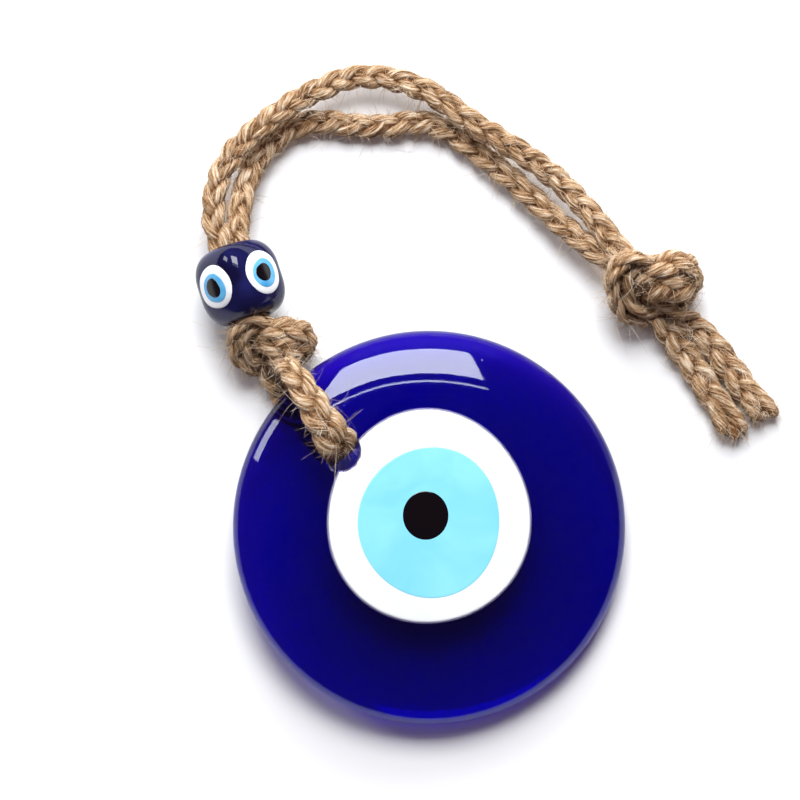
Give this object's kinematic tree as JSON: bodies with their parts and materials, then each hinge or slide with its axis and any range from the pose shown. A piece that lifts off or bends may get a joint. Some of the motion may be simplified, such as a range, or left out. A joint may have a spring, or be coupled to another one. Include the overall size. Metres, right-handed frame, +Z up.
{
  "type": "evil eye ornament",
  "caption": "Round cobalt glass eye disc on a folded plaited jute cord with a small square glass eye bead, two knots, a hanging loop and frayed tails.",
  "frame": {"origin": "on the table, under the middle of the glass disc's box", "axes": "+Z up from the table, +Y from the disc towards the hanging loop, +X to the right seen from above"},
  "size_m": [0.1132, 0.1274, 0.0186],
  "materials": {
    "cobalt_glass": "clear deep cobalt glass, fire polished",
    "white_glass": "opaque white glass, glossy",
    "light_blue_glass": "opaque light-blue glass, glossy",
    "black_glass": "opaque black glass, glossy",
    "navy_glass": "near-opaque navy glass, glossy",
    "jute_cord": "plaited natural jute, rough and hairy"
  },
  "bodies": {
    "cord": {"cord_front_leg": "jute_cord", "cord_back_leg": "jute_cord", "disc_knot": "jute_cord", "cord_pair_in_bead": "jute_cord", "loop_leg_outer": "jute_cord", "loop_leg_inner": "jute_cord", "end_knot": "jute_cord", "tail_left": "jute_cord", "tail_right": "jute_cord"},
    "disc": {"glass_disc": "cobalt_glass", "white_spot": "white_glass", "light_blue_spot": "light_blue_glass", "black_pupil": "black_glass"},
    "bead": {"bead_glass": "navy_glass", "bead_white_1": "white_glass", "bead_white_2": "white_glass", "bead_white_3": "white_glass", "bead_white_4": "white_glass", "bead_light_blue_1": "light_blue_glass", "bead_light_blue_2": "light_blue_glass", "bead_light_blue_3": "light_blue_glass", "bead_light_blue_4": "light_blue_glass", "bead_pupil_1": "black_glass", "bead_pupil_2": "black_glass", "bead_pupil_3": "black_glass", "bead_pupil_4": "black_glass"}
  },
  "joints": [
    {"name": "disc_turn", "type": "hinge", "parent": "cord", "child": "disc", "pos_m": [-0.01742, 0.01411, 0.00436], "axis": [0.0592, -0.0479, 0.9971], "range_deg": [-60, 20]},
    {"name": "bead_spin", "type": "hinge", "parent": "cord", "child": "bead", "pos_m": [-0.03628, 0.04657, 0.00829], "axis": [-0.309, 0.9511, 0], "continuous": true}
  ]
}
